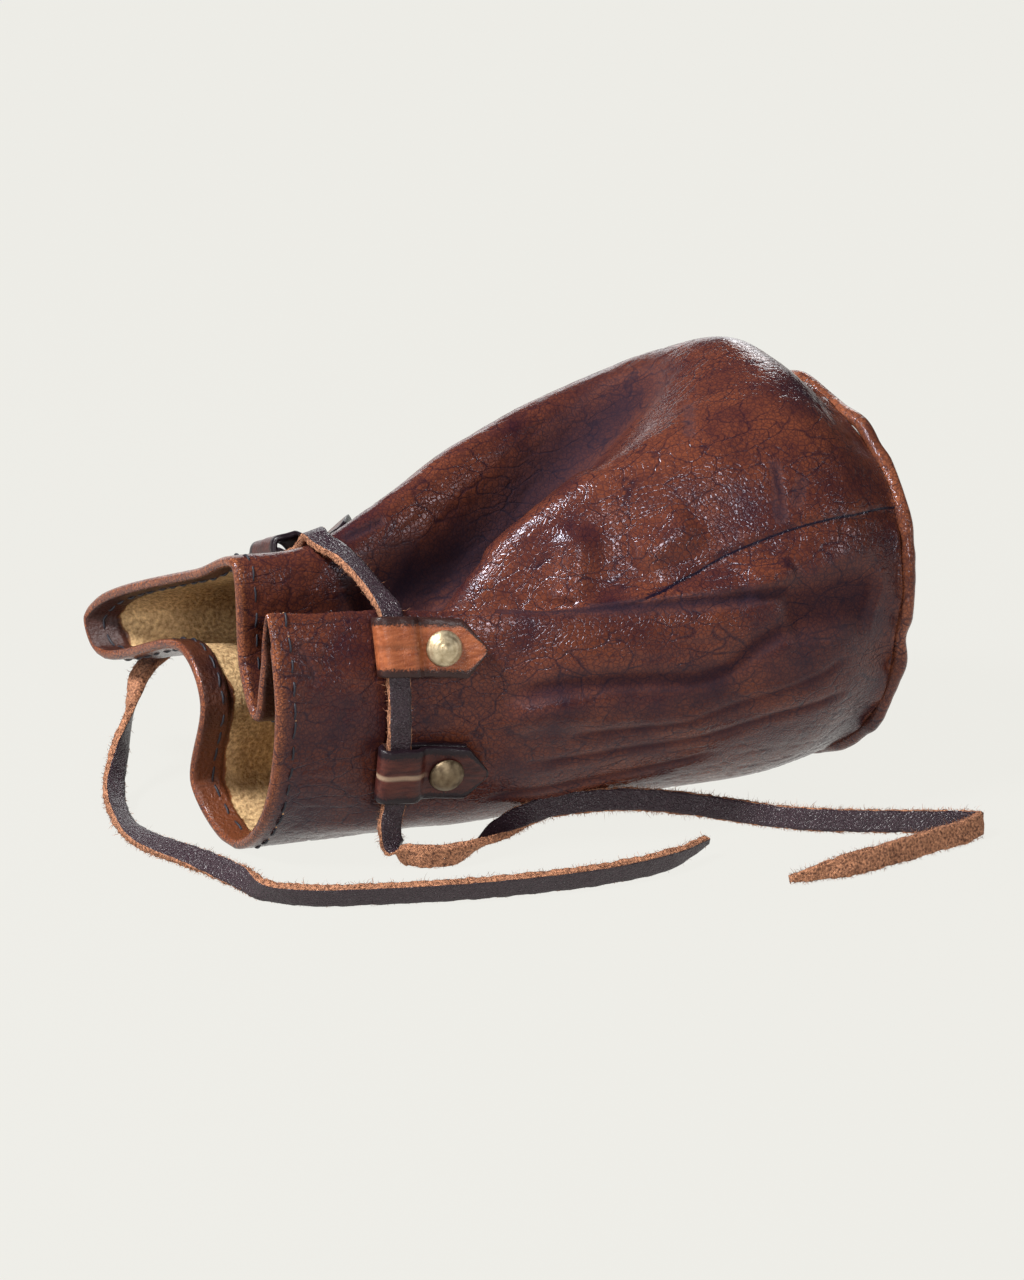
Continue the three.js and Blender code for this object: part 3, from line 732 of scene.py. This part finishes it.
def pouch_wall():
    columns = even_columns()
    outer, mouthward, finish = outer_skin(columns)
    inner, reach = inner_skin(columns)
    middle = (outer[-1] + inner[-1]) / 2
    half = (outer[-1] - inner[-1]) / 2
    turns = np.pi * np.arange(1, RIM_STEPS) / RIM_STEPS
    rolled = [middle + half * np.cos(turn) + mouthward[-1] * RIM_ROLL * np.sin(turn) for turn in turns]
    rings = np.concatenate([outer, np.array(rolled), inner[::-1]])
    inside = np.arange(len(rings)) >= len(outer) + RIM_STEPS - 2
    roll = np.ones((RIM_STEPS - 1, WALL_COLUMNS))
    on_roll = {"shade": 0.0, "seam": SEAM_FAR, "near_seam": 0.0, "worn": 1.0}
    data = {key: np.concatenate([values, roll * on_roll[key], 0 * reach]) for key, values in finish.items()}
    data["hem"] = np.concatenate([0 * finish["shade"], HEM_FAR * roll, reach[::-1]])
    piece = add_piece("wall_leather", rings, ring_faces(rings, joined=True), [leather, suede],
                      np.repeat(inside, WALL_COLUMNS), data)
    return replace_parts(piece, "pouch_wall")


# Base panel and welt
def base_leather():
    edge = WELT_RING - WELT_RADIUS - GAP
    radii = np.concatenate([np.linspace(0.5, edge - 3, 16), [edge - 1.4, edge - 0.4, edge]])
    turn = np.linspace(0, 360, 161)[:-1]
    lift = WELT_RADIUS + GAP - LEATHER / 2
    share = (radii / edge)[:, None]
    under = lift + BASE_BULGE * (1 - share ** 2)
    over = under + LEATHER * np.sqrt(np.clip(1 - share ** 16, 0, 1))
    dents = 0.35 * lumps(base_circle(turn[None], radii[:, None], over), 14, 21) * (1 - share ** 4)
    shown = base_circle(turn[None], radii[:, None], over + dents)
    hidden = base_circle(turn[None], radii[:, None], under)
    rings = np.concatenate([shown, hidden[::-1]])
    piece = add_piece("base_leather", rings, [face[::-1] for face in capped(rings)], [leather])
    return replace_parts(piece, "base_panel")


def welt():
    turn = np.linspace(0, 360, 281)[:-1]
    section = np.linspace(0, 2 * np.pi, 15)[:-1]
    ring = base_circle(turn, WELT_RING, 0.0)
    lumpy = ease(-lumps(ring, 40, 31), -0.5, 0.6)
    radius = WELT_RADIUS * (0.95 + 0.1 * lumps(ring, 5, 32) + 0.16 * lumpy * lumps(ring, 2.6, 33))
    wander = 0.5 * lumps(ring, 9, 34)
    out = WELT_RADIUS - GAP + radius[:, None] * np.sin(section) + 0.4 * lumps(ring, 6, 35)[:, None]
    ring_radius = (WELT_RING + wander)[:, None] + radius[:, None] * np.cos(section)
    points = above_floor(base_circle(turn[:, None], ring_radius, out), FLOOR_GAP)
    faces = ring_faces(points, joined=True)[:, ::-1]
    piece = add_piece("welt_roll", points, faces, [welt_leather])
    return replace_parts(piece, "base_welt")


# Stitches
THREAD_SIDES = 6
STITCH_PITCH = 5.4
OUTER_ROW = 3.2
OUTER_STITCH = 3.7
OUTER_THREAD = 0.28
INNER_ROW = 4.2
INNER_STITCH = 3.8
INNER_THREAD = 0.3
INNER_START = 1.0

# Rings of a torn lip: distance ahead of the stitch and radius
NICK_RINGS = ((-0.1, 0.05), (0.15, 0.24), (0.45, 0.26), (0.75, 0.06))


def rim_row(distance):
    """Fold numbers and shares of the length of a line that far in from the rim."""
    fold = np.linspace(0, FOLD_COUNT, 901)
    along = np.linspace(0.88, 1, 41)
    grid = wall(along, fold)
    far = np.linalg.norm(np.diff(grid, axis=0), axis=2)
    run = np.concatenate([np.cumsum(far[::-1], axis=0)[::-1], np.zeros((1, far.shape[1]))])
    share = np.array([np.interp(distance, run[::-1, j], along[::-1]) for j in range(len(fold))])
    return fold, share


def row_line(distance, inset):
    """Points and outward directions along a line beside the rim, that far under the outer skin."""
    fold, share = rim_row(distance)
    frames = [wall_frame(*where) for where in zip(share, fold)]
    at = np.array([place for place, _, _ in frames])
    out = np.array([outward for _, outward, _ in frames])
    return at - out * inset, out


def stitch_rows(line, out, length, radius, start=0.0):
    """Rings of short bowed threads along a line, and the places of their ends."""
    run = run_along(line)
    rings = []
    ends = []
    share = np.linspace(0, 1, 6)
    for k in range(int((run[-1] - start) / STITCH_PITCH)):
        at = start + k * STITCH_PITCH + 0.35 * np.sin(k * 2.3) + share * length * (1 + 0.14 * np.sin(k * 5.1))
        middle = at_run(at, run, line)
        away = unit(at_run(at, run, out))
        ahead = unit(np.gradient(middle, axis=0))
        side = np.cross(ahead, away)
        middle = middle + away * (radius * (1.6 * np.sin(np.pi * share) - 0.75))[:, None]
        middle += side * ((0.25 + 0.3 * np.sin(k * 3.7)) * (share - 0.5))[:, None]
        rings.append(middle[:, None] + radius * circle(side, away, THREAD_SIDES))
        ends.append((middle[-1], away[-1], ahead[-1]))
    return rings, ends


def thread_mesh(name, stitches, material):
    rings, size = stitches[0].shape[:2]
    one = capped(stitches[0])
    faces = [face + k * rings * size for k in range(len(stitches)) for face in one]
    return add_piece(name, np.array(stitches), faces, [material])


def stitch_nick(at, out, ahead):
    """Rings of a torn lip of raw leather at the end of a stitch."""
    lip = circle(np.cross(ahead, out), 0.5 * out, THREAD_SIDES)
    return np.array([at + ahead * step + width * lip for step, width in NICK_RINGS])


def rim_stitches():
    outside, away = row_line(OUTER_ROW, 0.0)
    rows, ends = stitch_rows(outside, away, OUTER_STITCH, OUTER_THREAD)
    inside, inward = row_line(INNER_ROW, HEM_THICKNESS)
    inner_rows, _ = stitch_rows(inside, -inward, INNER_STITCH, INNER_THREAD, INNER_START)
    sewing = thread_mesh("rim_stitches", rows + inner_rows, thread)
    torn = thread_mesh("stitch_nicks", [stitch_nick(*end) for end in ends], raw_nick)
    return sewing, torn


# Keepers: strips of leather over a flat map of the wall round each keeper.
PATCH_STEP = 0.5
PATCH_LENGTH = np.arange(-3.0, 31.01, PATCH_STEP)
PATCH_ACROSS = np.arange(-9.0, 9.01, PATCH_STEP)


def wall_patch(fold):
    """Places and outward directions of the wall, by distance towards the base and round it."""
    along = np.linspace(0.4, 0.95, 221)
    run = run_along(wall(along, [fold])[:, 0])
    lace_run = np.interp(LACE_LINE, along, run)
    stops = np.interp(lace_run - (PATCH_LENGTH - LACE_SEAT), run, along)
    folds = fold + np.linspace(-1.1, 1.1, 221)
    grid = wall(stops, folds)
    rows = []
    for line in grid:
        distance = run_along(line)
        distance -= distance[len(distance) // 2]
        rows.append(at_run(PATCH_ACROSS, distance, line))
    places = np.array(rows)
    middle = len(PATCH_ACROSS) // 2
    across = unit(places[:, middle + 1] - places[:, middle - 1])
    flat = places[:, middle, None] + across[:, None] * PATCH_ACROSS[:, None]
    places = (1 - KEEPER_STIFF) * places + KEEPER_STIFF * flat
    out = unit(np.cross(np.gradient(places, axis=1), -np.gradient(places, axis=0)))
    return places, out


def on_patch(patch, length, across, height):
    """Points at those distances on the map and that height above it."""
    i = np.clip((length - PATCH_LENGTH[0]) / PATCH_STEP, 0, len(PATCH_LENGTH) - 1.001)
    j = np.clip((across - PATCH_ACROSS[0]) / PATCH_STEP, 0, len(PATCH_ACROSS) - 1.001)
    i0 = i.astype(int)
    j0 = j.astype(int)
    u = (i - i0)[..., None]
    v = (j - j0)[..., None]
    place, out = (
        (1 - u) * (1 - v) * grid[i0, j0] + u * (1 - v) * grid[i0 + 1, j0]
        + (1 - u) * v * grid[i0, j0 + 1] + u * v * grid[i0 + 1, j0 + 1]
        for grid in patch)
    return place + unit(out) * height[..., None]


def keeper_line():
    """Middle line of a keeper in length and height, from the under layer round the fold to the point."""
    low = KEEPER_SEAT + LEATHER / 2
    high = LACE_LIFT + LACE_THICKNESS / 2 + GAP + LEATHER / 2
    rest = low + LEATHER + 0.2
    radius = (high - low) / 2
    line = [(KEEPER_UNDER_END, low), (KEEPER_RIVET, low), (12.5, low), (6.5, low)]
    for turn in np.linspace(0, np.pi, 7):
        line.append((radius + LEATHER / 2 - radius * np.sin(turn), (low + high) / 2 - radius * np.cos(turn)))
    line += [(6.5, high), (8.6, high), (10, high - 0.35), (11.6, rest + 0.35), (13.2, rest)]
    line += [(KEEPER_RIVET, rest), (KEEPER_SHOULDER, rest), (25.3, rest - 0.2), (KEEPER_LENGTH, rest - 0.4)]
    points = np.array([(length, height, 0.0) for length, height in line])
    dense = catmull(points, np.linspace(0, 1, 1200), False)
    run = run_along(dense)
    steps = np.linspace(0, run[-1], 110)
    return at_run(steps, run, dense[:, :2])


def strip_section(flat):
    """Places round a strip's rounded section, as shares of its half width and half thickness."""
    edge = np.array([0.985, 1.0, 0.985])
    turn = np.array([-0.6, 0.0, 0.6])
    across = np.concatenate([flat, edge, flat[::-1], -edge])
    level = np.concatenate([-np.ones(len(flat)), turn, np.ones(len(flat)), -turn])
    return across, level


def top_keeper_rise(line, upper):
    """Extra height of the top keeper, whose loop stands open and whose point curls up."""
    low, high = line[:, 1].min(), line[:, 1].max()
    loop = TOP_KEEPER_RISE * ease(13 - line[:, 0], 0, 5) * ease(line[:, 1], low, high)
    return loop + TOP_KEEPER_FLARE * ease(line[:, 0], 20, 28) * upper


def keeper(name, fold, material):
    patch = wall_patch(fold)
    line = keeper_line()
    ahead = unit(np.gradient(line, axis=0))
    side = np.stack([-ahead[:, 1], ahead[:, 0]], axis=1)
    upper = np.arange(len(line)) > len(line) / 2
    to_point = np.clip((line[:, 0] - KEEPER_SHOULDER) / (KEEPER_LENGTH - KEEPER_SHOULDER), 0, 1) * upper
    half = KEEPER_WIDTH / 2 * (1 - 0.9 * to_point ** 1.1)
    right = np.array([0.04, 0.12, 0.35, 0.6, 0.8, 0.93])
    across, level = strip_section(np.concatenate([-right[::-1], right]))
    u = across[None]
    v = level[None] * LEATHER / 2
    length = line[:, 0:1] + v * side[:, 0:1]
    height = line[:, 1:2] + v * side[:, 1:2]
    rough = np.stack(np.broadcast_arrays(line[:, 0:1], u * 9.0, fold * 5.0), axis=-1)
    wide = u * half[:, None] * (1 + 0.012 * lumps(rough, 1.2, 41))
    if name == "3":
        height = height + top_keeper_rise(line, upper)[:, None]
    on_top = (level[None] > 0.5) & (np.arange(len(line)) > 0.43 * len(line))[:, None]
    scored = on_top * np.exp(-((u / 0.045) ** 2)) * ease(13.5 - line[:, 0:1], 0, 5) * (name in "12")
    height = height + on_top * 0.12 * lumps(rough, 3, 42) - 0.25 * scored
    points = on_patch(patch, length, wide, height)
    # Dark band along the edges and towards the point: burnish, and partly painted shade of the rounded edges.
    worn = ease(np.abs(u) * np.ones_like(length), 0.64, 0.84) + 0.8 * to_point[:, None] ** 4
    data = {"edge": np.minimum(worn, 1.0), "line": scored}
    piece = add_piece("tab_" + name, points, capped(points), [material], data=data)
    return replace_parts(piece, "keeper_" + name)


def rivet(name, fold, rings, sunk):
    """A domed cap with turned rings, its post and a plain back."""
    places, outs = wall_patch(fold)
    i = np.argmin(np.abs(PATCH_LENGTH - KEEPER_RIVET))
    j = len(PATCH_ACROSS) // 2
    at = places[i, j]
    up = outs[i, j]
    seat = KEEPER_SEAT + 2 * LEATHER + 2 * GAP - sunk
    back = -LEATHER - 2 * GAP
    radius = DOME_RADIUS * np.linspace(1, 0.04, 26)
    share = radius / DOME_RADIUS
    rise = DOME_RISE * (1 - share ** 2.4) + 0.35 * ease(1 - share, 0, 0.06)
    ringed = 0.045 * np.cos(share * 27) * share + 0.4 * ease(0.45 - share, 0, 0.4) - 0.2
    rise = rise * (1 - 0.3 * sunk) + rings * ringed
    profile = [
        (0.1, back - BACK_THICKNESS),
        (BACK_RADIUS, back - BACK_THICKNESS),
        (BACK_RADIUS + 0.2, back - BACK_THICKNESS / 2),
        (BACK_RADIUS, back),
        (POST_RADIUS, back),
        (POST_RADIUS, seat),
        (DOME_RADIUS - 0.2, seat),
        *zip(radius, seat + np.maximum(rise, 0.1)),
    ]
    side = unit(np.cross(up, (0.3, 0.9, 0.2)))
    ring = circle(side, np.cross(up, side), RIVET_SIDES)
    points = np.array([at + up * height + reach * ring for reach, height in profile])
    metal = brass if name == "1" else dull_brass
    piece = add_piece("rivet_cap_" + name, points, capped(points), [metal])
    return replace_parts(piece, "rivet_" + name)


# Lace: rows of a place and the way that the strip's width points.
def on_wall(folds, lift=LACE_LIFT):
    """Rows at those fold numbers, that far off the wall."""
    frames = [wall_frame(LACE_LINE, fold) for fold in folds]
    return [(at + out * lift, mouthward) for at, out, mouthward in frames]


LEANING = (-0.18, -0.34, 0.92)
TURNED = (-0.12, -0.25, -0.95)
LACE_NECK = [
    *on_wall((1.51, 1.64, 1.78, 1.95, 2.15, 2.3, 2.45, 2.6, 2.72, 2.83)),
    ((-58.8, -21.5, 67.4), (-1, -0.15, 0.2)),
    ((-60.2, -10.5, 71.6), (-1, -0.1, 0.1)),
    *on_wall((6.98, 7.2, 7.45), LACE_REST),
    *on_wall((7.75,), (LACE_REST + LACE_LIFT) / 2),
    *on_wall((8.05, 8.24, 8.42, 8.58, 8.72, 8.85, 8.97)),
]
LACE_FRONT = [
    *on_wall((1.49, 1.36, 1.23)),
    ((-58.8, -30.4, 9.5), (-1, 0, 0.15)),
    ((-57.6, -31.6, 4), (-0.75, 0.2, 0.55)),
    ((-52.6, -36.4, LACE_EDGE), (-0.2, -0.1, 1)),
    ((-45.6, -38.3, LACE_EDGE), (0, -0.35, 0.95)),
    ((-36.4, -35.6, 3.6), (0, -0.9, 0.4)),
    ((-29, -32.2, 4.9), (0, -0.9, -0.4)),
    ((-16.4, -29.1, 6.8), (0, -0.25, -0.95)),
    *((place, TURNED) for place in (
        (-2, -33, 7.6), (10.6, -34.4, 5.8), (23, -37.9, 3.4), (39.5, -56.1, LACE_EDGE),
        (64.4, -71.7, LACE_EDGE), (73.2, -76.4, LACE_EDGE), (76.5, -79.1, LACE_EDGE),
        (73.2, -81.5, LACE_EDGE), (57.8, -84.7, LACE_EDGE), (37.5, -88.1, LACE_EDGE), (18.5, -86.7, 1.6))),
]
LACE_BACK = [
    *on_wall((9, 9.08, 9.18, 9.3, 9.42, 9.54, 9.68, 9.82, 10)),
    ((-66, 64, 33.6), (-0.4, 0.7, 0.5)),
    ((-75.2, 63.6, 29), (0, 1, 0)),
    ((-84, 58, 26.2), (-0.2, 0.9, 0)),
    ((-90, 52.2, 18), (0.15, 0.6, -0.65)),
    ((-95.9, 45.3, 11), (0.61, 0.14, -0.78)),
    ((-102.1, 34.6, 5.2), (0.83, -0.14, -0.52)),
    ((-105.6, 21, 2.6), (0.93, -0.05, -0.36)),
    ((-105.8, 8, 2.1), (0.97, 0.1, 0.2)),
    ((-100.2, -11.8, 2.5), (0.82, 0.18, 0.53)),
    ((-96.6, -29, 3), (0.45, 0.07, 0.88)),
    *((place, LEANING) for place in (
        (-95.1, -38.9, LACE_EDGE), (-87.2, -46.9, LACE_EDGE), (-75.9, -52.1, LACE_EDGE),
        (-58.1, -58.7, LACE_EDGE), (-39.1, -63.7, LACE_EDGE), (-18.7, -66.7, LACE_EDGE),
        (-1.3, -65.4, 3.2), (10.6, -61.2, 4.4))),
]


def lace_frames(rows, spacing):
    """Middle line of a lace with the directions of its width and thickness, evenly spaced."""
    share = np.linspace(0, 1, 3001)
    places = np.array([at for at, _ in rows])
    wides = unit(np.array([wide for _, wide in rows]))
    run = run_along(catmull(places, share, False))
    steps = np.linspace(0, run[-1], int(run[-1] / spacing) + 1)
    share = np.interp(steps, run, share)
    line = catmull(places, share, False)
    ahead = unit(np.gradient(line, axis=0))
    wide = catmull(wides, share, False)
    wide = unit(wide - ahead * np.sum(wide * ahead, axis=1, keepdims=True))
    return line, wide, np.cross(ahead, wide), steps


def lace_half_width(steps, cut_tip):
    if not cut_tip:
        return np.full_like(steps, LACE_WIDTH / 2)
    to_tip = steps[-1] - steps
    return LACE_WIDTH / 2 * np.minimum(1, TIP_SHARE + (1 - TIP_SHARE) * to_tip / TIP_LENGTH)


FACE_POINTS = 7
STRIP_SPACING = 0.5
FIBRE_SPACING = 0.25
FIBRE_GAP = 0.03
FIBRE_LONGEST = 2.3
FIBRES_ON_EDGE = 0.72
FIBRES_PER_MM = 24
NECK_FIBRES_PER_MM = 9


def lace_strip(name, node, rows, smooth_side, cut_tip):
    """A flat strip with one smooth dark side, and fuzzy flesh and cut edges."""
    line, wide, thick, steps = lace_frames(rows, STRIP_SPACING)
    half = lace_half_width(steps, cut_tip)
    across, level = strip_section(np.linspace(-0.93, 0.93, FACE_POINTS))
    points = line[:, None] + wide[:, None] * (half[:, None] * across)[..., None]
    points = points + thick[:, None] * (level * LACE_SHOWN / 2)[:, None]
    smooth = level * smooth_side > 0.9
    direction = unit(points - line[:, None])
    fuzz = 0.26 * lumps(points, 0.9, 51) + 0.2 * lumps(points, 2.2, 52)
    run = np.stack(np.broadcast_arrays(steps[:, None], 0.3 * across, 0.0), axis=-1)
    crinkle = 0.05 * lumps(points, 1.1, 53) + 0.13 * lumps(run, 1.7, 54)
    points = above_floor(points + direction * np.where(smooth, crinkle, fuzz)[..., None], FLOOR_GAP)
    smooth_face = smooth & np.roll(smooth, -1)
    material_of = np.concatenate([np.tile(np.where(smooth_face, 0, 1), len(points) - 1), [1, 1]])
    piece = add_piece(name, points, capped(points), [grain_side, flesh_side], material_of)
    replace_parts(piece, node)
    return piece, line, steps[-1]


def lace_fuzz(name, rows, smooth_side, cut_tip, per_mm, seed):
    """Loose fibres on the cut edges and the flesh side, each a bent tapered blade."""
    line, wide, thick, steps = lace_frames(rows, FIBRE_SPACING)
    half = lace_half_width(steps, cut_tip)
    ahead = np.cross(wide, thick)
    chance = np.random.default_rng(seed)
    count = int(steps[-1] * per_mm)
    at = chance.integers(0, len(line), count)
    kind = chance.random(count)
    on_edge = kind < FIBRES_ON_EDGE
    edge = np.where(kind < FIBRES_ON_EDGE / 2, 1.0, -1.0)
    across = np.where(on_edge, edge, chance.uniform(-1, 1, count))
    level = np.where(on_edge, chance.uniform(-1, 1, count), -smooth_side)
    root = line[at] + wide[at] * (half[at] * across)[:, None] + thick[at] * (level * LACE_SHOWN / 2)[:, None]
    from_edge = wide[at] * across[:, None] - 0.5 * smooth_side * thick[at]
    away = np.where(on_edge[:, None], from_edge, -thick[at] * smooth_side)
    sweep = chance.normal(0, 0.75, (count, 3))
    direction = unit(away + sweep)
    length = np.where(on_edge, chance.gamma(2.0, 0.38, count), chance.gamma(2.0, 0.16, count))[:, None]
    length = np.minimum(length + 0.1, FIBRE_LONGEST)
    bend = unit(chance.normal(0, 1, (count, 3)) + ahead[at])
    blade = unit(np.cross(direction, chance.normal(0, 1, (count, 3))))
    width = blade * chance.uniform(0.03, 0.075, (count, 1))
    middle = root + direction * length * 0.55
    tip = root + direction * length * 0.85 + bend * length * 0.35
    points = np.stack([root - width, root + width, middle + 0.7 * width, middle - 0.7 * width, tip], axis=1)
    points = above_floor(points, FIBRE_GAP)
    start = np.arange(count)[:, None] * 5
    faces = [*(start + [0, 1, 2, 3]), *(start + [3, 2, 4])]
    return add_piece(name, points, faces, [flesh_side])


def free_lace(name, node, rows, smooth_side, seed):
    strip, line, length = lace_strip(name, node, rows, smooth_side, True)
    fuzz = lace_fuzz(name + "_fuzz", rows, smooth_side, True, FIBRES_PER_MM, seed)


# Assembly
wall_piece = pouch_wall()
base_leather()
welt()
sewing, torn = rim_stitches()
for name, fold in KEEPERS.items():
    tab = keeper(name, fold, cognac if name == "1" else dark_tab)
    rivet(name, fold, 1.0 if name == "1" else 0.25, 1.2 if name == "3" else 0.0)
lace_strip("lace_round_neck", "lace_neck", LACE_NECK, 1, False)
lace_fuzz("lace_round_neck_fuzz", LACE_NECK, 1, False, NECK_FIBRES_PER_MM, 3)
free_lace("lace_front_end", "lace_end_front", LACE_FRONT, -1, 1)
free_lace("lace_back_end", "lace_end_back", LACE_BACK, 1, 2)


# Floor, light and camera
FLOOR_COLOUR = (0.871, 0.863, 0.815, 1)
FLOOR_GLOW = 0.96


def floor_material():
    """Pale glowing table top, so that shadows stay light, that dims towards the viewer."""
    material, tree, place = new_material("floor")
    towards = add_node(tree, "VectorMath", {0: place, 1: FORWARD}, operation="DOT_PRODUCT")
    glow = scaled(towards.outputs["Value"], -1, -0.6, 0.2, FLOOR_GLOW)
    return finish_material(material, {
        "Base Color": (0.012, 0.012, 0.012, 1),
        "Roughness": 0.3,
        "Specular IOR Level": 0.0,
        "Emission Color": FLOOR_COLOUR,
        "Emission Strength": glow,
    })


def add_floor():
    side = 6.0
    mesh = bpy.data.meshes.new("floor")
    corners = [(-side, -side, 0), (side, -side, 0), (side, side, 0), (-side, side, 0)]
    mesh.from_pydata(corners, [], [(0, 1, 2, 3)])
    mesh.materials.append(floor_material())
    floor = add_object("floor", mesh)


def pose(x_axis, y_axis, z_axis, at):
    """Matrix of an object with those axes at that place."""
    return Matrix([*np.column_stack([x_axis, y_axis, z_axis, at]).tolist(), [0, 0, 0, 1]])


def add_light(name, at, size, power):
    """Soft box in metres that faces the pouch."""
    light = bpy.data.lights.new(name, "AREA")
    light.shape = "RECTANGLE"
    light.size, light.size_y = size
    light.energy = power
    away = unit(np.array(at) - np.array([0, 0, 0.05]))
    side = unit(np.cross((0.01, 0.02, 1.0), away))
    add_object(name, light).matrix_world = pose(side, np.cross(away, side), away, at)


def add_camera():
    camera = bpy.data.cameras.new("camera")
    camera.lens = LENS
    camera.sensor_fit = "VERTICAL"
    camera.sensor_height = SENSOR
    camera.clip_end = 20.0
    eye = (TARGET - FORWARD * DISTANCE + ZERO) * MM
    shot = add_object("camera", camera)
    shot.matrix_world = pose(RIGHT, UP, -FORWARD, eye)
    bpy.context.scene.camera = shot


def set_world():
    world = bpy.data.worlds.new("room")
    world.use_nodes = True
    background = world.node_tree.nodes["Background"]
    background.inputs["Color"].default_value = (0.75, 0.8, 1.0, 1)
    background.inputs["Strength"].default_value = 0.06
    bpy.context.scene.world = world
    bpy.context.scene.view_settings.view_transform = "Standard"


add_floor()
add_light("top_box", (-0.6, -0.04, 0.8), (0.2, 0.2), 15)
add_light("front_box", (-0.25, -0.87, 0.44), (0.08, 0.08), 3.0)
add_light("left_box", (-1.0, -0.05, 0.3), (0.5, 0.4), 2.5)
add_light("back_box", (0.3, 1.25, 0.3), (1.6, 0.35), 4)
add_light("rim_box", (0.62, 0.68, 0.46), (0.2, 0.2), 1.2)
add_light("ridge_box", (0.65, -0.75, 0.27), (0.06, 0.06), 1.0)
add_camera()
set_world()
